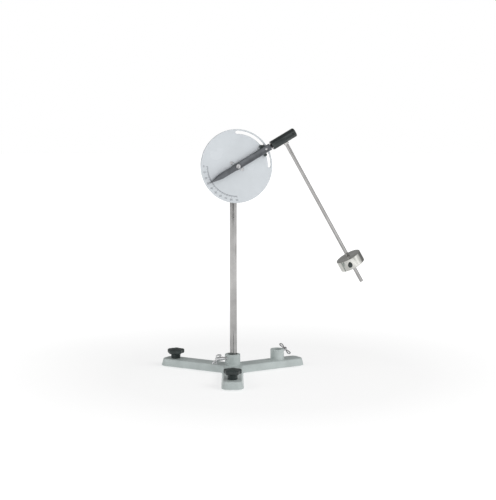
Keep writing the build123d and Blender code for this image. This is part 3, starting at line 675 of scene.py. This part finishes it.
# ---- dial ---------------------------------------------------------------------------------------
def dial_plate():
    """The round dial with its quarter slot, its centre hole and its two screw holes."""
    low, high, radius = measure("scale_disc", DIAL)
    loops = [circle(radius, 240), circle(PIVOT_HOLE, 32)]
    slot = []
    for sign, turns in ((1, range(0, 91)), (-1, range(90, -1, -1))):
        for turn in turns:
            angle = math.radians(turn)
            reach = SLOT_RADIUS + sign * SLOT_HALF
            slot.append((reach * math.cos(angle), reach * math.sin(angle)))
        end = math.radians(90 if sign == 1 else 0)
        centre = (SLOT_RADIUS * math.cos(end), SLOT_RADIUS * math.sin(end))
        for step in range(1, 12):
            angle = end + math.pi * step / 12 + (0 if sign == 1 else math.pi)
            slot.append((centre[0] + SLOT_HALF * math.cos(angle), centre[1] + SLOT_HALF * math.sin(angle)))
    loops.append(slot)
    reach = max(math.hypot(p.x, p.y) for p in corners_of("dial_screws", DIAL)) - SCREW_HEAD
    for turn in SCREW_TURNS:
        angle = math.radians(turn)
        centre = (reach * math.cos(angle), reach * math.sin(angle))
        loops.append(circle(SCREW_HEAD + SCREW_ROOM, 40, centre))
    rounded_edges(piece("dial_plate", plate(loops, low, high), DIAL, "scale_disc"), 0.6 * MM)


def dial_print():
    """The scale from 0 at nine o'clock to 90 at six o'clock: an arc, a tick at each degree, and numbers."""
    _, face, _ = measure("scale_disc", DIAL)
    low, high = face + INK_LOW, face + INK_HIGH
    bm = bmesh.new()

    def patch(points):
        under = [bm.verts.new((x, y, low)) for x, y in points]
        over = [bm.verts.new((x, y, high)) for x, y in points]
        bm.faces.new(over)
        bm.faces.new(under[::-1])
        for index in range(len(points)):
            bm.faces.new((under[index - 1], under[index], over[index], over[index - 1]))

    def polar(reach, degrees, aside=0.0):
        angle = math.radians(180 + degrees)
        return (
            reach * math.cos(angle) - aside * math.sin(angle),
            reach * math.sin(angle) + aside * math.cos(angle),
        )

    inner, outer = ARC_RADIUS - ARC_HALF, ARC_RADIUS + ARC_HALF
    for degree in range(90):
        after = degree + 1
        patch([polar(inner, degree), polar(outer, degree), polar(outer, after), polar(inner, after)])
    for degree in range(91):
        length, half = next(size for every, *size in MARKS if degree % every == 0)
        end = ARC_RADIUS + length
        patch([polar(ARC_RADIUS, degree, -half), polar(end, degree, -half),
               polar(end, degree, half), polar(ARC_RADIUS, degree, half)])
    piece("scale_ticks", bm, DIAL, "scale_disc", INK, replaces=False)
    for number in range(0, 91, 10):
        text = bpy.data.curves.new(f"number_{number}", "FONT")
        text.body = str(number)
        text.size = NUMBER_SIZE
        text.align_x = text.align_y = "CENTER"
        text.extrude = 0.03 * MM
        x, y = polar(NUMBER_RADIUS, number)
        text.materials.append(INK)
        made = added(f"scale_number_{number}", text)
        made.matrix_world = DIAL @ Matrix.Translation((x, y, face + 0.02 * MM))
        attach(made, "head")


dial_plate()
dial_print()
softened("clamp_block", "rod_clamp_block", 0.25 * MM)
threaded("head_clamp_screw", "head_clamp_stud", "head_clamp", M6, 40)
star_knob("head_star_grip", "head_clamp_knob", "head_clamp")


# ---- pointer arm and its lock -------------------------------------------------------------------
softened("pointer_bar", "pointer_arm", 0.12 * MM)
softened("cross_bar", "friction_bar", 0.25 * MM)


def knurled_knob(name, node, at, teeth, depth, slant, edge, segments_per_tooth=6, rows=26):
    """A round knob with a diamond knurl between plain chamfered rims."""
    low, high, radius = measure(node, at)
    inner, ease = radius - depth, 0.2 * MM
    rings = eased([(0, low), (inner * 0.72, low), (inner * 0.8, low + ease), (inner, low + edge)], ease)
    for row in range(rows + 1):
        height = low + edge + (high - low - 2 * edge) * row / rows

        def reach(angle, height=height):
            one = abs(((teeth * angle / math.tau + height * slant) % 1) * 2 - 1)
            two = abs(((teeth * angle / math.tau - height * slant) % 1) * 2 - 1)
            return inner + depth * (one + two) / 2

        rings.append((reach, height))
    dished = high - 0.05 * MM
    rings += eased([(inner, high - edge), (inner * 0.9, high), (inner * 0.4, dished), (0, dished)], ease)
    piece(name, turned(rings, teeth * segments_per_tooth), at, node, crease=60)


knurled_knob("lock_grip_knob", "lock_knob", SCREWS["arm_lock"], 36, 0.45 * MM, 180, 0.9 * MM)


# ---- bearing block and pendulum -----------------------------------------------------------------
softened("bearing_block", "bearing_housing", 0.3 * MM)
round_bar("block_cap", "end_cap", AXLE, None, 0.3 * MM, 64)
round_bar("pendulum_bar", "pendulum_rod", HANG, DRAWN_PENDULUM, 0.5 * MM, 64)


def bob():
    """The sliding weight, a turned steel disc with chamfered rims and bore, and its clamp screw."""
    low, high, radius = measure("bob_weight", HANG)
    _, _, rod = measure("pendulum_rod", HANG)
    bore = rod + BOB_ROOM
    mouth, face = bore + BORE_CHAMFER, radius - RIM_CHAMFER
    ends = [(bore, low + BORE_CHAMFER), (bore, high - BORE_CHAMFER)]
    outside = [ends[0], (mouth, low), (face, low), (radius, low + RIM_CHAMFER),
               (radius, high - RIM_CHAMFER), (face, high), (mouth, high), ends[1]]
    rings = ends[::-1] + eased(outside, 0.3 * MM)[1:-1]
    piece("bob_disc", turned(rings, 160, loop=True), HANG, "bob_weight", BOB_STEEL)
    threaded("bob_clamp_screw", "bob_screw_stud", "bob_clamp", M4, 32)
    knurled_knob("bob_grip_knob", "bob_screw_knob", SCREWS["bob_clamp"], 26, 0.3 * MM, 300, 0.5 * MM, rows=20)


bob()


# ---- stage, light and camera --------------------------------------------------------------------
CAMERA_AZIMUTH = -14.0  # degrees round from the dial's own front, to the left
CAMERA_DISTANCE, CAMERA_HEIGHT = 2.182, 0.471
CAMERA_PITCH, CAMERA_YAW = 5.82, 0.77  # down, and to the right of the stand rod
CAMERA_LENS = 79.2
LIT = Vector((0, 0, 0.2))  # what the lamps point at


def floor():
    """A wide pale floor that brightens away from the object, so that it has no horizon."""
    bm = turned([(0, 0), (0.6, 0), (1.5, 0), (30, 0)], 96)
    made = added("floor", mesh_of("floor", bm))
    look, tree, shader = shader_of("floor_white", (0.5, 0.5, 0.5), 0.9)
    shader.inputs["Specular IOR Level"].default_value = 0.1
    shader.inputs["Emission Color"].default_value = (1, 1, 1, 1)
    glow = ranged(tree, length_of(tree, seen_from(tree)), 0.62, 0.95, start=0.3, end=1.2)
    tree.links.new(glow, shader.inputs["Emission Strength"])
    made.data.materials.append(look)


# brightness of the room round the object, by degrees to the right of the camera's own direction
PANORAMA = [
    (-180, 0.30), (-112, 0.32), (-85, 0.45), (-60, 0.85), (-38, 0.60), (-20, 0.45), (0, 0.26), (20, 0.34),
    (40, 0.80), (60, 1.50), (80, 1.00), (112, 0.24), (150, 0.22), (180, 0.30),
]
ROOM_STRENGTH = 2.0


def room():
    """A room for light and reflections, and plain white where the camera sees past the floor."""
    world = bpy.data.worlds.new("studio")
    bpy.context.scene.world = world
    world.use_nodes = True
    tree = world.node_tree
    background = tree.nodes["Background"]
    output = tree.nodes["World Output"]
    white = tree.nodes.new("ShaderNodeBackground")
    white.inputs["Color"].default_value = (1, 1, 1, 1)
    coordinates = tree.nodes.new("ShaderNodeTexCoord")
    turn = tree.nodes.new("ShaderNodeVectorRotate")
    turn.rotation_type = "Z_AXIS"
    turn.inputs["Angle"].default_value = math.radians(-CAMERA_AZIMUTH)
    tree.links.new(coordinates.outputs["Generated"], turn.inputs["Vector"])
    split = split_of(tree, turn.outputs[0])
    flipped = tree.nodes.new("ShaderNodeMath")
    flipped.operation = "MULTIPLY"
    flipped.inputs[1].default_value = -1
    tree.links.new(split["Y"], flipped.inputs[0])
    angle = tree.nodes.new("ShaderNodeMath")
    angle.operation = "ARCTAN2"
    tree.links.new(split["X"], angle.inputs[0])
    tree.links.new(flipped.outputs[0], angle.inputs[1])
    share = ranged(tree, angle.outputs[0], 0, 1, start=-math.pi, end=math.pi)
    ramp = tree.nodes.new("ShaderNodeValToRGB")
    stops = ramp.color_ramp.elements
    ramp.color_ramp.interpolation = "EASE"
    while len(stops) < len(PANORAMA):
        stops.new(0.5)
    for stop, (degrees, brightness) in zip(stops, PANORAMA):
        stop.position = (degrees + 180) / 360
        level = brightness / ROOM_STRENGTH
        stop.color = (level, level, level, 1)
    tree.links.new(share, ramp.inputs["Fac"])
    overhead = ranged(tree, split["Z"], 0, 1, start=0.35, end=0.9)
    sky = tree.nodes.new("ShaderNodeMix")
    sky.data_type = "RGBA"
    sky.inputs[7].default_value = (0.17, 0.17, 0.17, 1)
    tree.links.new(overhead, sky.inputs["Factor"])
    tree.links.new(ramp.outputs["Color"], sky.inputs[6])
    tree.links.new(sky.outputs[2], background.inputs["Color"])
    background.inputs["Strength"].default_value = ROOM_STRENGTH
    path = tree.nodes.new("ShaderNodeLightPath")
    choose = tree.nodes.new("ShaderNodeMixShader")
    tree.links.new(path.outputs["Is Camera Ray"], choose.inputs[0])
    tree.links.new(background.outputs[0], choose.inputs[1])
    tree.links.new(white.outputs[0], choose.inputs[2])
    tree.links.new(choose.outputs[0], output.inputs["Surface"])


def softbox(name, azimuth, height, distance, size, watts):
    """A large soft lamp that points at the middle of the object."""
    lamp = bpy.data.lights.new(name, "AREA")
    lamp.size = size
    lamp.energy = watts
    made = added(name, lamp)
    made.visible_glossy = False
    turn = math.radians(azimuth)
    made.location = (distance * math.sin(turn), -distance * math.cos(turn), height)
    made.rotation_euler = (LIT - made.location).to_track_quat("-Z", "Y").to_euler()


def camera():
    """The camera at the photograph's viewing angle."""
    data = bpy.data.cameras.new("camera")
    data.lens = CAMERA_LENS
    data.sensor_width = 36
    made = added("camera", data)
    azimuth, pitch = math.radians(CAMERA_AZIMUTH), math.radians(CAMERA_PITCH)
    heading = -azimuth + math.radians(CAMERA_YAW)
    back = Vector((math.sin(azimuth), -math.cos(azimuth), 0)) * CAMERA_DISTANCE
    made.location = (STAND.translation.x + back.x, STAND.translation.y + back.y, CAMERA_HEIGHT)
    level = Vector((math.sin(heading), math.cos(heading), 0)) * math.cos(pitch)
    ahead = Vector((level.x, level.y, -math.sin(pitch)))
    made.rotation_euler = ahead.to_track_quat("-Z", "Y").to_euler()
    bpy.context.scene.camera = made


floor()
room()
softbox("key", 40, 1.5, 1.7, 1.0, 12)
softbox("fill", -75, 1.1, 1.8, 1.2, 6)
camera()
bpy.context.scene.view_settings.view_transform = "Standard"
